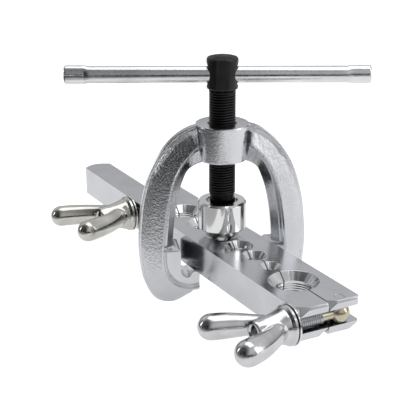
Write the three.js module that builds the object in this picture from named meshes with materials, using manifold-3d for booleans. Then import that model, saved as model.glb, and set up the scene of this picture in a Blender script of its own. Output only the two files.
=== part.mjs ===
// Flaring tool: a split die bar with tube holes, two wing-nut clamps, and a screw press on a forged yoke.
// Millimetres, +Z up. +X runs along the bar to the swing-bolt end, and the wing nuts are on the -Y side.
// Everything is laid out from the screw axis at the height of the bar's top face, and the whole group
// is shifted at the end so that its origin is the middle of the bottom of its bounding box.

import * as THREE from 'three';
import { mergeVertices } from 'three/addons/utils/BufferGeometryUtils.js';
import Module from 'manifold-3d';

const wasm = await Module();
wasm.setup();

const INCH = 25.4;
const CLEARANCE = 0.35;

// Die bar
const BAR_HEIGHT = 15;
const HALF_WIDTH = 16;
const SPLIT = 0.6;
const NEAR_END = 92.3;
const FRONT_FAR_END = -134.4;
const REAR_FAR_END = -87.7;
const CORNER_ROUNDING = 2.5;
const LIP_ROUNDING = 1.3;
const LIP_FACET = 5.5;
const SLOT_DEPTH = 9.6;
const SLOT_HEIGHT = 7.5;

// Tube holes: the tube's outside diameter, and where the hole stands along the bar
const TUBE_HOLES = [
  { diameter: (5 / 8) * INCH, x: 64.5 },
  { diameter: (3 / 16) * INCH, x: 44.9 },
  { diameter: (1 / 4) * INCH, x: 30.5 },
  { diameter: (5 / 16) * INCH, x: 16.5 },
  { diameter: (3 / 8) * INCH, x: 0 },
  { diameter: (7 / 16) * INCH, x: -18.2 },
  { diameter: (1 / 2) * INCH, x: -39 },
];
const COUNTERSINK_RISE = 2.35;
const COUNTERSINK_GROWTH = 0.075;

// Dowels that line the halves up
const DOWEL_DIAMETER = 3;
const DOWEL_LENGTH = 20;
const DOWEL_X = [51.8, -53.4];

// Clamps
const SWING_BOLT_X = NEAR_END - 3.9;
const SWING_PIN_Y = 7.7;
const SWING_PIN_DIAMETER = 4.2;
const EYE_DIAMETER = 9.6;
const EYE_THICKNESS = 6.8;
const BOLT_NECK_DIAMETER = 4.8;
const BOLT_DIAMETER = 6;
const BOLT_TIP_Y = -31.5;
const STUD_X = NEAR_END - 160.6;
const STUD_HEAD_Y = 9;
const STUD_PIN_DIAMETER = 2.5;
const WASHER_RADIUS = 9.4;
const WASHER_THICKNESS = 0.9;
const WASHER_STANDOFF = 1;
const FLANGE_RADIUS = 9;
const HUB_LENGTH = 17;
const NEAR_WINGS = { spread: 15.4, reach: 28.6, bulb: 5.85, stem: 4.4, turn: 2.6 };
const FAR_WINGS = { spread: 18.2, reach: 31.2, bulb: 5.5, stem: 4.8, turn: 5.6 };

// Yoke
const YOKE_TURN = THREE.MathUtils.degToRad(-21.1);
const BOSS_TOP_RADIUS = 12.9;
const BOSS_BOTTOM_RADIUS = 12.2;
const BOSS_BOTTOM = 39.2;
const BOSS_TOP = 56.8;
const YOKE_DEPTH = 8.8;
const BAND_DEPTH = 2.2;

// Feed screw, handle and cone
const SCREW_RADIUS = INCH / 4;
const NECK_RADIUS = 5.45;
const UPPER_NECK_RADIUS = 5.75;
const NOSE_BOTTOM = 7.8;
const THREAD_BOTTOM = 22.4;
const HEAD_BOTTOM = 73.1;
const HEAD_TOP = 89.1;
const HEAD_RADIUS = 7.5;
const HANDLE_HEIGHT = 79.9;
const HANDLE_TURN = THREE.MathUtils.degToRad(61.4);
const HANDLE_RADIUS = 3.95;
const HANDLE_LENGTH = 143;
const HANDLE_SHIFT = -2.2;
const HANDLE_END_LENGTH = 11;
const COLLAR_RADIUS = 11.8;
const COLLAR_BOTTOM = 4.5;
const COLLAR_TOP = 18.4;
const CONE_TIP = -5.4;
const CONE_TIP_RADIUS = 1.2;
const BALL_RADIUS = 2.8;
const RING_HEIGHT = 11;
const RING_RADIUS = 5.7;
const RING_WIRE = 0.45;

const MID_HEIGHT = -BAR_HEIGHT / 2;

const plated = new THREE.MeshStandardMaterial({ color: 0xc6c8cc, roughness: 0.28, metalness: 1 });
const forged = new THREE.MeshStandardMaterial({ color: 0xbfc2c6, roughness: 0.42, metalness: 1 });
const chromed = new THREE.MeshStandardMaterial({ color: 0xd2d2d0, roughness: 0.1, metalness: 1 });
const nickel = new THREE.MeshStandardMaterial({ color: 0xcfcdc6, roughness: 0.12, metalness: 1 });
const blackened = new THREE.MeshStandardMaterial({ color: 0x17181a, roughness: 0.5, metalness: 0.6 });
const yellowZinc = new THREE.MeshStandardMaterial({ color: 0xb9b08f, roughness: 0.3, metalness: 1 });
const bareSteel = new THREE.MeshStandardMaterial({ color: 0x9a9ca0, roughness: 0.35, metalness: 1 });

// A closed geometry as a solid that can be cut and joined.
function toSolid(geometry) {
  const bare = geometry.clone();
  bare.deleteAttribute('normal');
  bare.deleteAttribute('uv');
  const merged = mergeVertices(bare, 1e-4);
  const corners = merged.index.array;
  const triangles = [];
  for (let i = 0; i < corners.length; i += 3) {
    const [a, b, c] = corners.slice(i, i + 3);
    if (a !== b && b !== c && c !== a) triangles.push(a, b, c);
  }
  return new wasm.Manifold(new wasm.Mesh({
    numProp: 3,
    vertProperties: new Float32Array(merged.attributes.position.array),
    triVerts: new Uint32Array(triangles),
  }));
}

function toGeometry(solid) {
  const { vertProperties, triVerts } = solid.getMesh();
  const geometry = new THREE.BufferGeometry();
  geometry.setAttribute('position', new THREE.BufferAttribute(new Float32Array(vertProperties), 3));
  geometry.setIndex(new THREE.BufferAttribute(new Uint32Array(triVerts), 1));
  geometry.computeVertexNormals();
  return geometry;
}

function namedMesh(name, solid, material) {
  const mesh = new THREE.Mesh(toGeometry(solid), material);
  mesh.name = name;
  return mesh;
}

// A solid of revolution about Z. The profile's [radius, z] points go up the outside.
function turned(profile, segments = 40) {
  const points = profile.map(([radius, z]) => new THREE.Vector2(radius, z));
  return new THREE.LatheGeometry(points, segments).rotateX(Math.PI / 2);
}

function rod(radius, from, to, segments = 24) {
  return turned([[0, from], [radius, from], [radius, to], [0, to]], segments);
}

// The same, lying along Y: what stood up along +Z points to -Y.
function alongY(geometry) {
  return geometry.rotateX(Math.PI / 2);
}

function slab(shape, from, to) {
  return new THREE.ExtrudeGeometry(shape, { depth: to - from, bevelEnabled: false, curveSegments: 10 })
    .translate(0, 0, from);
}

function block(x0, x1, y0, y1, z0, z1) {
  return new THREE.BoxGeometry(x1 - x0, y1 - y0, z1 - z0)
    .translate((x0 + x1) / 2, (y0 + y1) / 2, (z0 + z1) / 2);
}

// A closed skin over a row of rings that all have the same number of points.
function lofted(rings) {
  const count = rings[0].length;
  const middle = (ring) => ring.reduce((sum, p) => sum.add(p), new THREE.Vector3()).divideScalar(count);
  const vertices = [...rings.flat(), middle(rings[0]), middle(rings.at(-1))];
  const firstMiddle = rings.length * count;
  const last = (rings.length - 1) * count;
  const faces = [];
  for (let j = 0; j < count; j += 1) {
    const k = (j + 1) % count;
    for (let i = 0; i < rings.length - 1; i += 1) {
      const a = i * count;
      faces.push(a + j, a + k, a + count + k, a + j, a + count + k, a + count + j);
    }
    faces.push(firstMiddle, k, j, firstMiddle + 1, last + j, last + k);
  }
  const geometry = new THREE.BufferGeometry().setFromPoints(vertices);
  geometry.setIndex(faces);
  return geometry;
}

// 45 degree countersink, a little wider on the larger tubes
function countersinkRadius(diameter) {
  return diameter / 2 + COUNTERSINK_RISE + diameter * COUNTERSINK_GROWTH;
}

function tubeHole({ diameter, x }) {
  const bore = diameter / 2;
  const mouth = countersinkRadius(diameter);
  const profile = [[0, -BAR_HEIGHT - 1], [bore, -BAR_HEIGHT - 1], [bore, bore - mouth], [mouth + 1, 1],
    [0, 1]];
  return toSolid(turned(profile).translate(x, 0, 0));
}

// One half bar in plan, from its inner face at y = inner to its outer face. The far end is bowed.
function halfPlan(farEnd, side, bow) {
  const inner = side * SPLIT / 2;
  const outer = side * HALF_WIDTH;
  const corner = 1.4;
  const shape = new THREE.Shape();
  shape.moveTo(NEAR_END, inner);
  shape.lineTo(NEAR_END, outer - side * CORNER_ROUNDING);
  shape.quadraticCurveTo(NEAR_END, outer, NEAR_END - CORNER_ROUNDING, outer);
  shape.lineTo(farEnd + 3.2 * bow + corner, outer);
  shape.quadraticCurveTo(farEnd + 3.2 * bow, outer, farEnd + 2.8 * bow, outer - side * corner);
  shape.quadraticCurveTo(farEnd - 2.5 * bow, (outer + inner) / 2, farEnd + 2.2 * bow, inner + side * corner);
  shape.quadraticCurveTo(farEnd + 2.4 * bow, inner, farEnd + 2.4 * bow + corner, inner);
  shape.closePath();
  return shape;
}

// The side view of a half bar: rolled lips at the near end and a rounded lower corner at the far end.
function halfSide(farEnd, lowerRounding) {
  const start = NEAR_END - LIP_ROUNDING;
  const shape = new THREE.Shape();
  shape.moveTo(start, 0);
  shape.quadraticCurveTo(NEAR_END - 0.3, -0.1, NEAR_END, -LIP_ROUNDING);
  shape.lineTo(NEAR_END, LIP_ROUNDING - BAR_HEIGHT);
  shape.quadraticCurveTo(NEAR_END - 0.3, 0.1 - BAR_HEIGHT, start, -BAR_HEIGHT);
  shape.lineTo(farEnd + lowerRounding, -BAR_HEIGHT);
  shape.quadraticCurveTo(farEnd, -BAR_HEIGHT, farEnd, lowerRounding - BAR_HEIGHT);
  shape.lineTo(farEnd, 0);
  shape.closePath();
  return shape;
}

// The flat facet across one corner of the near end. up = 1 for the top lip and -1 for the bottom one,
// and towards = 1 or -1 is the way from the corner to the middle of the bar.
function lipFacet(bar, y, towards, up) {
  const onTop = new THREE.Vector3(NEAR_END - 3.4, y, up > 0 ? 0 : -BAR_HEIGHT);
  const normal = new THREE.Vector3(-1 / 3.4, towards / LIP_FACET, -up / 3.4).normalize();
  return bar.trimByPlane(normal.toArray(), normal.dot(onTop));
}

function halfBar(side, farEnd, bow, lowerRounding) {
  const plan = toSolid(slab(halfPlan(farEnd, side, bow), -BAR_HEIGHT, 0));
  const sideView = slab(halfSide(farEnd, lowerRounding), -HALF_WIDTH - 1, HALF_WIDTH + 1)
    .rotateX(Math.PI / 2);
  const slotTop = MID_HEIGHT + SLOT_HEIGHT / 2;
  const slot = block(NEAR_END - SLOT_DEPTH, NEAR_END + 1, -HALF_WIDTH - 1, HALF_WIDTH + 1,
    slotTop - SLOT_HEIGHT, slotTop);
  const studHole = alongY(rod(BOLT_DIAMETER / 2 + CLEARANCE, -STUD_HEAD_Y - CLEARANCE, HALF_WIDTH + 1));
  let bar = plan.intersect(toSolid(sideView));
  bar = bar.subtract(toSolid(slot));
  bar = bar.subtract(toSolid(studHole.translate(STUD_X, 0, MID_HEIGHT)));
  bar = lipFacet(bar, side < 0 ? 2 - HALF_WIDTH : SPLIT / 2, 1, 1);
  bar = lipFacet(bar, side < 0 ? -SPLIT / 2 : HALF_WIDTH - 0.5, -1, -1);
  TUBE_HOLES.forEach((hole) => {
    bar = bar.subtract(tubeHole(hole));
  });
  DOWEL_X.forEach((x) => {
    const socketEnd = DOWEL_LENGTH / 2 + CLEARANCE;
    const socket = alongY(rod(DOWEL_DIAMETER / 2 + CLEARANCE, -socketEnd, socketEnd));
    bar = bar.subtract(toSolid(socket.translate(x, 0, MID_HEIGHT)));
  });
  return bar;
}

function frontDieBar() {
  return namedMesh('front_die_bar', halfBar(-1, FRONT_FAR_END, 1, 4), plated);
}

// The rear half also holds the swing bolt's pin and the stud's cross pin.
function rearDieBar() {
  const pinHole = rod(SWING_PIN_DIAMETER / 2 + CLEARANCE, 0.7 - BAR_HEIGHT, 1);
  const crossHole = rod(STUD_PIN_DIAMETER / 2 + CLEARANCE, 1.5 - BAR_HEIGHT, 1);
  const solid = halfBar(1, REAR_FAR_END, 0.4, 2)
    .subtract(toSolid(pinHole.translate(SWING_BOLT_X, SWING_PIN_Y, 0)))
    .subtract(toSolid(crossHole.translate(STUD_X, STUD_HEAD_Y - 4, 0)));
  return namedMesh('rear_die_bar', solid, plated);
}

function dowelPin(name, x) {
  const end = DOWEL_LENGTH / 2;
  const radius = DOWEL_DIAMETER / 2;
  const profile = [[0, -end], [radius - 0.4, -end], [radius, 0.4 - end], [radius, end - 0.4],
    [radius - 0.4, end]];
  const pin = alongY(turned([...profile, [0, end]], 24)).translate(x, 0, MID_HEIGHT);
  return namedMesh(name, toSolid(pin), bareSteel);
}

// A turned eye with a flat top and bottom, on a bolt that points to -Y.
function swingBolt() {
  const eyeRadius = EYE_DIAMETER / 2;
  const half = EYE_THICKNESS / 2;
  const flatRadius = Math.sqrt(eyeRadius ** 2 - half ** 2);
  const profile = [[0, -half], [flatRadius, -half]];
  for (let i = 1; i < 8; i += 1) {
    const z = half * (i / 4 - 1);
    profile.push([Math.sqrt(eyeRadius ** 2 - z ** 2), z]);
  }
  profile.push([flatRadius, half], [0, half]);
  const eye = toSolid(turned(profile, 32));
  const hole = toSolid(rod(SWING_PIN_DIAMETER / 2 + CLEARANCE, -half - 1, half + 1, 24));
  const reach = SWING_PIN_Y - BOLT_TIP_Y;
  const neck = BOLT_NECK_DIAMETER / 2;
  const thread = BOLT_DIAMETER / 2;
  const neckEnd = eyeRadius + 4.5;
  const shank = [[0, 2.2], [neck, 2.2], [neck, neckEnd], [thread, neckEnd + 0.6], [thread, reach - 0.8]];
  const bolt = toSolid(alongY(turned([...shank, [thread - 0.8, reach], [0, reach]], 32)));
  const solid = eye.add(bolt).subtract(hole).translate(SWING_BOLT_X, SWING_PIN_Y, MID_HEIGHT);
  return namedMesh('swing_bolt', solid, yellowZinc);
}

function swingBoltPin() {
  const pin = rod(SWING_PIN_DIAMETER / 2, 1.1 - BAR_HEIGHT, -0.05, 24);
  return namedMesh('swing_bolt_pin', toSolid(pin.translate(SWING_BOLT_X, SWING_PIN_Y, 0)), bareSteel);
}

// The far stud is fixed in the rear half by a cross pin.
function clampStud() {
  const radius = BOLT_DIAMETER / 2;
  const tip = -BOLT_TIP_Y;
  const profile = [[0, -STUD_HEAD_Y], [radius, -STUD_HEAD_Y], [radius, tip - 0.8],
    [radius - 0.8, tip], [0, tip]];
  const stud = toSolid(alongY(turned(profile, 32)));
  const hole = toSolid(rod(STUD_PIN_DIAMETER / 2 + CLEARANCE, -radius - 1, radius + 1, 20)
    .translate(0, STUD_HEAD_Y - 4, 0));
  return namedMesh('clamp_stud', stud.subtract(hole).translate(STUD_X, 0, MID_HEIGHT), yellowZinc);
}

function studPin() {
  const pin = rod(STUD_PIN_DIAMETER / 2, 1.9 - BAR_HEIGHT, -0.3, 20);
  return namedMesh('stud_pin', toSolid(pin.translate(STUD_X, STUD_HEAD_Y - 4, 0)), bareSteel);
}

function washer(name, x) {
  const from = HALF_WIDTH + WASHER_STANDOFF;
  const to = from + WASHER_THICKNESS;
  const bore = BOLT_DIAMETER / 2 + CLEARANCE;
  const profile = [[bore, from], [WASHER_RADIUS, from], [WASHER_RADIUS, to], [bore, to], [bore, from]];
  return namedMesh(name, toSolid(alongY(turned(profile, 36)).translate(x, 0, MID_HEIGHT)), chromed);
}

// A fat drop on a curved stem, from inside the hub to the bulb, side = 1 or -1.
function wing({ spread, reach, bulb, stem }, side) {
  const path = new THREE.QuadraticBezierCurve3(
    new THREE.Vector3(side * 4.6, 0, 8),
    new THREE.Vector3(side * spread * 0.72, 0, reach * 0.52),
    new THREE.Vector3(side * spread, 0, reach),
  );
  const rings = [];
  const steps = 8;
  for (let i = 0; i <= steps; i += 1) {
    const t = i / steps;
    const along = path.getPoint(t);
    const forward = path.getTangent(t);
    const sideways = new THREE.Vector3(forward.z, 0, -forward.x);
    const radius = THREE.MathUtils.lerp(stem, bulb, THREE.MathUtils.smoothstep(t, 0.1, 0.95));
    rings.push(ringAround(along, sideways, radius, radius));
  }
  const tip = path.getPoint(1);
  const forward = path.getTangent(1);
  const sideways = new THREE.Vector3(forward.z, 0, -forward.x);
  for (let i = 1; i <= 3; i += 1) {
    const angle = i * Math.PI / 7;
    const centre = tip.clone().addScaledVector(forward, bulb * Math.sin(angle));
    const radius = bulb * Math.cos(angle);
    rings.push(ringAround(centre, sideways, radius, radius));
  }
  return toSolid(lofted(rings));
}

function ringAround(centre, sideways, wide, tall) {
  const points = [];
  for (let i = 0; i < 12; i += 1) {
    const angle = i * Math.PI / 6;
    const point = centre.clone().addScaledVector(sideways, wide * Math.cos(angle));
    points.push(point.add(new THREE.Vector3(0, tall * Math.sin(angle), 0)));
  }
  return points;
}

// Flange, waisted hub and two wings, with the thread's hole right through.
function wingNut(name, x, wings, material) {
  const profile = [[0, 0], [FLANGE_RADIUS, 0], [FLANGE_RADIUS, 1.4], [8.3, 2.4]];
  for (let i = 0; i <= 5; i += 1) {
    const t = i / 5;
    profile.push([5.7 + 2.5 * (1 - t) ** 2.2, 2.6 + t * (HUB_LENGTH - 2.6)]);
  }
  profile.push([0, HUB_LENGTH]);
  const hole = rod(BOLT_DIAMETER / 2 + CLEARANCE, -1, HUB_LENGTH + 1, 24);
  const nut = toSolid(turned(profile, 32)).add(wing(wings, 1)).add(wing(wings, -1))
    .subtract(toSolid(hole)).rotate([0, 0, wings.turn]);
  const face = HALF_WIDTH + WASHER_STANDOFF + WASHER_THICKNESS + CLEARANCE;
  return namedMesh(name, nut.rotate([90, 0, 0]).translate(x, -face, MID_HEIGHT), material);
}

// Half of the hoop, from the middle of the bridge to the end of the toe. Each row is one place along it:
// the outer band, the ridge and the inner edge as [sideways, z], and how deep the inner edge is.
const HOOP = [
  { band: [0, 56.4], ridge: [0, 48.5], edge: [0, 39.4], edgeDepth: 5.5 },
  { band: [12, 56.2], ridge: [11.5, 48], edge: [9.5, 39.2], edgeDepth: 5 },
  { band: [20.8, 52.4], ridge: [17, 43.6], edge: [16, 35.6], edgeDepth: 3 },
  { band: [28.6, 44.6], ridge: [22, 37], edge: [19, 29.8], edgeDepth: 2 },
  { band: [34.8, 33.4], ridge: [25.8, 27.4], edge: [21.3, 22.5], edgeDepth: 2 },
  { band: [38.8, 19.6], ridge: [28.2, 15.6], edge: [23.1, 12.5], edgeDepth: 2 },
  { band: [40.5, 5], ridge: [29.6, 4], edge: [24, 3], edgeDepth: 2.2 },
  { band: [40.8, -2], ridge: [30.1, -2.4], edge: [24.1, -3.1], edgeDepth: 2.4 },
  { band: [40.8, -4.6], ridge: [30.3, -4.6], edge: [21.4, -4.3], edgeDepth: 8.1 },
  { band: [40.3, -12], ridge: [30.2, -10.6], edge: [21.1, -9.6], edgeDepth: 8.2 },
  { band: [38.8, -20.5], ridge: [29.2, -15.4], edge: [21.1, -14.4], edgeDepth: 8.2 },
  { band: [33.6, -30.4], ridge: [25.6, -20.6], edge: [20.4, -17.2], edgeDepth: 8.2 },
  { band: [25.4, -33.3], ridge: [21, -23.4], edge: [17.5, -18.6], edgeDepth: 8.2 },
  { band: [17.8, -30], ridge: [16.4, -24.2], edge: [14.9, -15.8], edgeDepth: 8.2 },
  { band: [12.2, -25], ridge: [12.1, -23.6], edge: [12, -15.5], edgeDepth: 8.2 },
];
const HOOP_STEPS = 28;

function hoopRings() {
  const curveOf = (key) => new THREE.CatmullRomCurve3(
    HOOP.map((row) => new THREE.Vector3(row[key][0], row[key][1], key === 'edge' ? row.edgeDepth : 0)),
    false, 'centripetal');
  const [band, ridge, edge] = ['band', 'ridge', 'edge'].map(curveOf);
  const ringAt = (t, side) => {
    const [b, r, e] = [band.getPoint(t), ridge.getPoint(t), edge.getPoint(t)];
    const place = (p, depth) => new THREE.Vector3(side * p.x, depth, p.y);
    return [place(b, -BAND_DEPTH), place(r, -YOKE_DEPTH), place(e, -e.z), place(e, e.z),
      place(r, YOKE_DEPTH), place(b, BAND_DEPTH)];
  };
  const rings = [];
  for (let i = -HOOP_STEPS; i <= HOOP_STEPS; i += 1) {
    rings.push(ringAt(Math.abs(i) / HOOP_STEPS, Math.sign(i)));
  }
  return rings;
}

function yoke() {
  const rim = 0.8;
  const boss = turned([[0, BOSS_BOTTOM], [BOSS_BOTTOM_RADIUS - rim, BOSS_BOTTOM],
    [BOSS_BOTTOM_RADIUS, BOSS_BOTTOM + rim], [BOSS_TOP_RADIUS, BOSS_TOP - rim],
    [BOSS_TOP_RADIUS - rim, BOSS_TOP], [0, BOSS_TOP]], 48);
  const bore = rod(SCREW_RADIUS + CLEARANCE, 0, BOSS_TOP + 5, 36);
  const hoop = toSolid(lofted(hoopRings()));
  const solid = hoop.add(toSolid(boss)).subtract(toSolid(bore));
  return namedMesh('yoke', solid, forged);
}

// The screw's axis is Z. Its head is cross-drilled for the handle and has two flats beside the hole.
function feedScrew() {
  const groove = RING_WIRE + CLEARANCE;
  const profile = [[0, NOSE_BOTTOM], [NECK_RADIUS - 0.6, NOSE_BOTTOM], [NECK_RADIUS, NOSE_BOTTOM + 0.6],
    [NECK_RADIUS, RING_HEIGHT - groove], [4.9, RING_HEIGHT - groove], [4.9, RING_HEIGHT + groove],
    [NECK_RADIUS, RING_HEIGHT + groove], [NECK_RADIUS, COLLAR_TOP - 2.4],
    [UPPER_NECK_RADIUS, COLLAR_TOP - 2], [UPPER_NECK_RADIUS, THREAD_BOTTOM - 2],
    [SCREW_RADIUS, THREAD_BOTTOM], [SCREW_RADIUS, HEAD_BOTTOM - 1], [SCREW_RADIUS - 0.5, HEAD_BOTTOM],
    [HEAD_RADIUS - 0.7, HEAD_BOTTOM],
    [HEAD_RADIUS, HEAD_BOTTOM + 0.7], [HEAD_RADIUS, HEAD_TOP - 2], [HEAD_RADIUS - 1.2, HEAD_TOP - 0.7],
    [0, HEAD_TOP]];
  const hole = rod(HANDLE_RADIUS + CLEARANCE, -HEAD_RADIUS - 1, HEAD_RADIUS + 1, 32);
  const mouth = turned([[0, 5.4], [HANDLE_RADIUS + CLEARANCE, 5.4], [7, 8.4], [0, 8.4]], 32);
  const cut = toSolid(hole).add(toSolid(mouth)).add(toSolid(mouth.clone().rotateX(Math.PI)));
  const flat = (side) => toSolid(block(-9, 9, -0.8, 0.8, HEAD_BOTTOM - 1, HEAD_TOP + 1)
    .translate(0, side * (HEAD_RADIUS + 0.2), 0));
  const head = cut.rotate([0, 90, 0]).translate(0, 0, HANDLE_HEIGHT).add(flat(1)).add(flat(-1));
  const solid = toSolid(turned(profile)).subtract(head);
  return namedMesh('feed_screw', solid.rotate([0, 0, THREE.MathUtils.radToDeg(HANDLE_TURN)]), blackened);
}

// A round bar whose two ends are lightly squeezed, so that they are a little taller than its hole.
function tommyBar() {
  const half = HANDLE_LENGTH / 2;
  const stations = [[half, 2.9, 3.7], [half - 0.7, 3.5, 4.35], [half - HANDLE_END_LENGTH + 2, 3.6, 4.35],
    [half - HANDLE_END_LENGTH, HANDLE_RADIUS, HANDLE_RADIUS]];
  const mirrored = stations.map(([x, wide, tall]) => [-x, wide, tall]);
  const rings = [...mirrored, ...stations.reverse()].map(([x, wide, tall]) => {
    const ring = [];
    for (let i = 0; i < 24; i += 1) {
      const angle = i * Math.PI / 12;
      ring.push(new THREE.Vector3(x, wide * Math.cos(angle), tall * Math.sin(angle)));
    }
    return ring;
  });
  const solid = toSolid(lofted(rings)).translate(HANDLE_SHIFT, 0, HANDLE_HEIGHT);
  return namedMesh('tommy_bar', solid.rotate([0, 0, THREE.MathUtils.radToDeg(HANDLE_TURN)]), chromed);
}

// Collar with a recess round the screw's neck, a socket for the ball, and a 45 degree cone below.
function flaringCone() {
  const socket = NECK_RADIUS + 0.45;
  const groove = RING_WIRE + CLEARANCE;
  const seat = 1.6;
  const profile = [[0, CONE_TIP], [CONE_TIP_RADIUS, CONE_TIP], [COLLAR_RADIUS - 1.4, COLLAR_BOTTOM - 0.8],
    [COLLAR_RADIUS - 0.4, COLLAR_BOTTOM], [COLLAR_RADIUS, COLLAR_BOTTOM + 0.6],
    [COLLAR_RADIUS, COLLAR_TOP - 0.9], [COLLAR_RADIUS - 0.9, COLLAR_TOP], [7.6, COLLAR_TOP],
    [7.3, COLLAR_TOP - 3], [socket, COLLAR_TOP - 3], [socket, RING_HEIGHT + groove],
    [6.6, RING_HEIGHT + groove], [6.6, RING_HEIGHT - groove], [socket, RING_HEIGHT - groove],
    [socket, NOSE_BOTTOM - 0.4], [BALL_RADIUS + 0.4, NOSE_BOTTOM - 0.4],
    [BALL_RADIUS + 0.4, seat], [0, seat]];
  return namedMesh('flaring_cone', toSolid(turned(profile, 44)), chromed);
}

function thrustBall() {
  const ball = new THREE.SphereGeometry(BALL_RADIUS, 16, 10).translate(0, 0, NOSE_BOTTOM - BALL_RADIUS - 0.3);
  return namedMesh('thrust_ball', toSolid(ball), bareSteel);
}

// A split wire ring, bent round most of a circle
function retainingRing() {
  const rings = [];
  for (let i = 0; i <= 20; i += 1) {
    const angle = 0.25 + i * (2 * Math.PI - 0.5) / 20;
    const outward = new THREE.Vector3(Math.cos(angle), Math.sin(angle), 0);
    const ring = [];
    for (let j = 0; j < 6; j += 1) {
      const turn = -j * Math.PI / 3;
      const point = outward.clone().multiplyScalar(RING_RADIUS + RING_WIRE * Math.cos(turn));
      ring.push(point.setZ(RING_HEIGHT + RING_WIRE * Math.sin(turn)));
    }
    rings.push(ring);
  }
  return namedMesh('retaining_ring', toSolid(lofted(rings)), bareSteel);
}

const dieBlock = new THREE.Group();
dieBlock.add(frontDieBar(), rearDieBar(), clampStud(), studPin(), swingBoltPin());
DOWEL_X.forEach((x, i) => dieBlock.add(dowelPin(`dowel_pin_${i + 1}`, x)));

const clamps = new THREE.Group();
clamps.add(swingBolt(), washer('near_washer', SWING_BOLT_X));
clamps.add(wingNut('near_wing_nut', SWING_BOLT_X, NEAR_WINGS, chromed));
clamps.add(washer('far_washer', STUD_X), wingNut('far_wing_nut', STUD_X, FAR_WINGS, nickel));

const turnedYoke = yoke();
turnedYoke.rotation.z = Math.PI / 2 + YOKE_TURN;

const press = new THREE.Group();
press.add(turnedYoke, feedScrew(), tommyBar(), flaringCone(), thrustBall(), retainingRing());

const tool = new THREE.Group();
tool.name = 'flaring_tool';
tool.add(dieBlock, clamps, press);

const bounds = new THREE.Box3().setFromObject(tool, true);
const centre = bounds.getCenter(new THREE.Vector3());
tool.position.set(-centre.x, -centre.y, -bounds.min.z);

export default tool;
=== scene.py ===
"""Looks for the flaring tool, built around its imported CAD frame.

Lengths in this script are millimetres, measured from the feed screw's axis at the height of the die
bar's top face. +X runs to the swing-bolt end and the wing nuts are on the -Y side. settle() turns a
finished mesh into metres in the frame's own coordinates.
"""
import math

import bmesh
import bpy
from mathutils import Matrix, Vector


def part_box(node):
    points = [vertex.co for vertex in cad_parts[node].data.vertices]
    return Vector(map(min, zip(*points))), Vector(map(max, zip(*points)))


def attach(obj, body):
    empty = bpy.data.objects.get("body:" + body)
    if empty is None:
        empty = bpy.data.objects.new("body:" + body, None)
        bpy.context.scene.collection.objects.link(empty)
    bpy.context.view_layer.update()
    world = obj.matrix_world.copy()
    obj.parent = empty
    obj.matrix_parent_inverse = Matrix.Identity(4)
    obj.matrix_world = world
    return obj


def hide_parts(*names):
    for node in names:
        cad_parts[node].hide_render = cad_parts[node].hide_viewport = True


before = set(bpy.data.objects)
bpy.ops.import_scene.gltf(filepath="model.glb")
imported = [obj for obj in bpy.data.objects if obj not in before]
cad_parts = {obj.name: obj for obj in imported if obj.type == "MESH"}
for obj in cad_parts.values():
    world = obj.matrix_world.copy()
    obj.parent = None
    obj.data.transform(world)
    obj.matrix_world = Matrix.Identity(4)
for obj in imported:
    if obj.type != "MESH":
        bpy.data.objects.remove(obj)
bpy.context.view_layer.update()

MM = 0.001
INCH = 25.4
CONE_LOW, CONE_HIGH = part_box("flaring_cone")
REAR_LOW, REAR_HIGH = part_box("rear_die_bar")
FRONT_LOW, FRONT_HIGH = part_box("front_die_bar")
ORIGIN = Vector(((CONE_LOW.x + CONE_HIGH.x) / 2, (CONE_LOW.y + CONE_HIGH.y) / 2, REAR_HIGH.z))


def in_mm(corner):
    """A frame corner in this script's millimetres."""
    return (corner - ORIGIN) / MM


def centre_mm(node):
    low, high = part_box(node)
    return in_mm((low + high) / 2)


# Sizes that follow from the frame
NEAR_END = in_mm(FRONT_HIGH).x
FRONT_FAR_END = in_mm(FRONT_LOW).x
REAR_FAR_END = in_mm(REAR_LOW).x
BAR_HEIGHT = -in_mm(REAR_LOW).z
HALF_WIDTH = in_mm(REAR_HIGH).y
SPLIT = 2 * in_mm(REAR_LOW).y
MID_HEIGHT = -BAR_HEIGHT / 2
SWING_BOLT_X = centre_mm("swing_bolt_pin").x
SWING_PIN_Y = centre_mm("swing_bolt_pin").y
STUD_X = centre_mm("clamp_stud").x
BOLT_TIP_Y = in_mm(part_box("clamp_stud")[0]).y
WASHER_FACE_Y = in_mm(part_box("far_washer")[1]).y
NUT_FACE_Y = in_mm(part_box("far_wing_nut")[1]).y
COLLAR_TOP = in_mm(CONE_HIGH).z
CONE_TIP = in_mm(CONE_LOW).z
HEAD_TOP = in_mm(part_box("feed_screw")[1]).z
HANDLE_CENTRE = centre_mm("tommy_bar")
HANDLE_TURN = math.radians(61.4)

# Camera: in front of the swing-bolt end and well above the bar
CAMERA_AT = (455.8, -260.0, 203.0)
CAMERA_HEADING = 60.93
CAMERA_PITCH = 19.93
CAMERA_LENS = 98.6

# Tube holes: outside diameter of the tube, and the hole's place along the bar
TUBE_HOLES = [(INCH * 5 / 8, 64.5), (INCH * 3 / 16, 44.9), (INCH / 4, 30.5), (INCH * 5 / 16, 16.5),
              (INCH * 3 / 8, 0.0), (INCH * 7 / 16, -18.2), (INCH / 2, -39.0)]


# ---------------------------------------------------------------- mesh tools

def mesh_object(name, verts, faces, groups=None):
    mesh = bpy.data.meshes.new(name)
    mesh.from_pydata([tuple(v) for v in verts], [], faces)
    if groups:
        mesh.polygons.foreach_set("material_index", groups)
    piece = bpy.data.objects.new(name, mesh)
    bpy.context.scene.collection.objects.link(piece)
    return piece


def tidy_normals(piece):
    shape = bmesh.new()
    shape.from_mesh(piece.data)
    bmesh.ops.remove_doubles(shape, verts=shape.verts, dist=1e-4)
    bmesh.ops.recalc_face_normals(shape, faces=shape.faces)
    shape.to_mesh(piece.data)
    shape.free()
    return piece


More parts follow.
